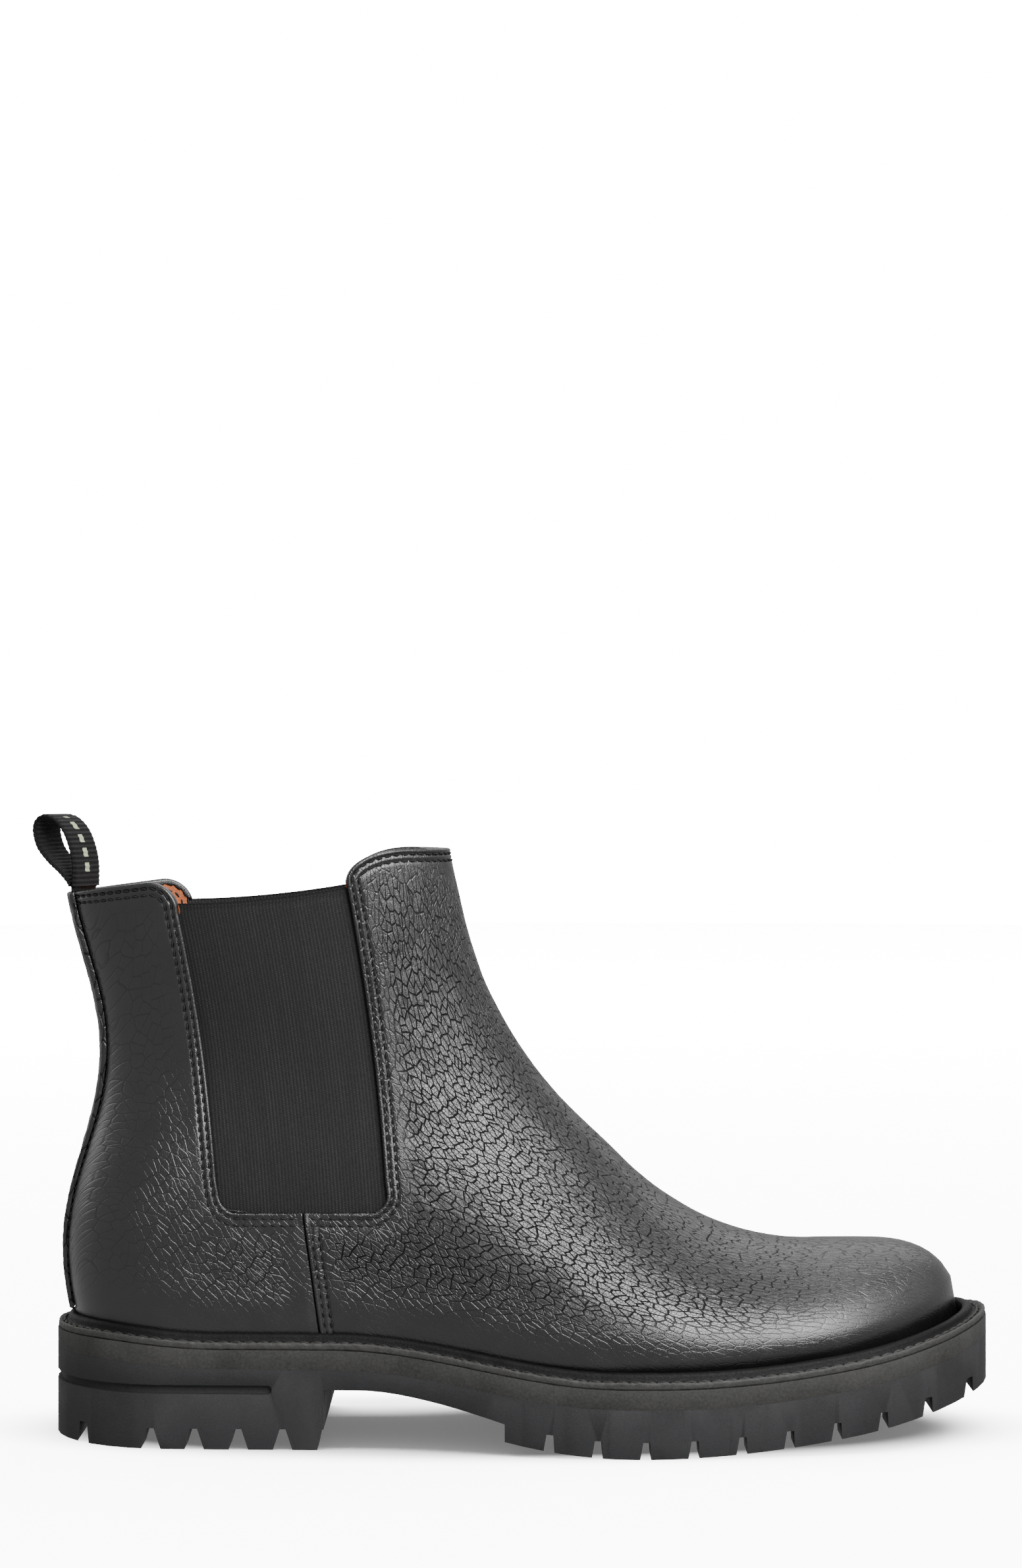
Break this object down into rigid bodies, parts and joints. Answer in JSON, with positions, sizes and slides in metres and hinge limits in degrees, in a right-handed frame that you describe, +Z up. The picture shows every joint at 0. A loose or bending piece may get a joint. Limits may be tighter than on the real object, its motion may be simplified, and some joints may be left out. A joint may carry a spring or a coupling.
{
  "type": "chelsea boot",
  "caption": "Ankle-high black leather slip-on boot with elastic side panels, a fabric pull loop at the back, a storm welt and a lugged rubber sole.",
  "frame": {"origin": "middle of the whole boot's box seen from above, on the ground plane under the heel", "axes": "+X towards the toe, +Y towards the inner (medial) side of a right foot, +Z up"},
  "size_m": [0.316, 0.1117, 0.2031],
  "materials": {
    "tread_rubber": "matte",
    "midsole_rubber": "matte, lightly textured",
    "welt_leather": "semi-gloss, waxed",
    "welt_thread": "waxed",
    "canvas_rib": "woven",
    "cork": "granular",
    "shank_steel": "brushed",
    "insole_leather": "matte",
    "foam": "soft matte",
    "sock_leather": "matte",
    "black_leather": "tumbled grain, satin",
    "elastic": "ribbed knit",
    "stiffener": "matte",
    "lining_leather": "matte",
    "suede": "napped",
    "upper_thread": "bonded thread",
    "webbing": "ribbed grosgrain"
  },
  "bodies": {
    "boot": {"outsole": "tread_rubber", "midsole": "midsole_rubber", "storm_welt": "welt_leather", "welt_stitches": "welt_thread", "insole_rib": "canvas_rib", "cork_filler": "cork", "shank": "shank_steel", "insole_board": "insole_leather", "heel_pad": "foam", "sock_liner": "sock_leather", "vamp": "black_leather", "quarter_lateral": "black_leather", "quarter_medial": "black_leather", "backstay": "black_leather", "gore_lateral": "elastic", "gore_medial": "elastic", "toe_puff": "stiffener", "heel_counter": "stiffener", "vamp_lining": "lining_leather", "quarter_lining_lateral": "lining_leather", "quarter_lining_medial": "lining_leather", "heel_grip": "suede", "window_stitches_lateral": "upper_thread", "window_stitches_medial": "upper_thread", "collar_stitches": "upper_thread", "side_seam_stitches": "upper_thread", "backstay_stitches": "upper_thread", "pull_loop_tab": "webbing"},
    "loop": {"pull_loop": "webbing"}
  },
  "joints": [
    {"name": "pull_loop_hinge", "type": "hinge", "parent": "boot", "child": "loop", "pos_m": [-0.1417, 0, 0.1798], "axis": [0.2079, 0.9781, 0], "range_deg": [-35, 75], "stiffness_Nm_per_rad": 0.01}
  ]
}
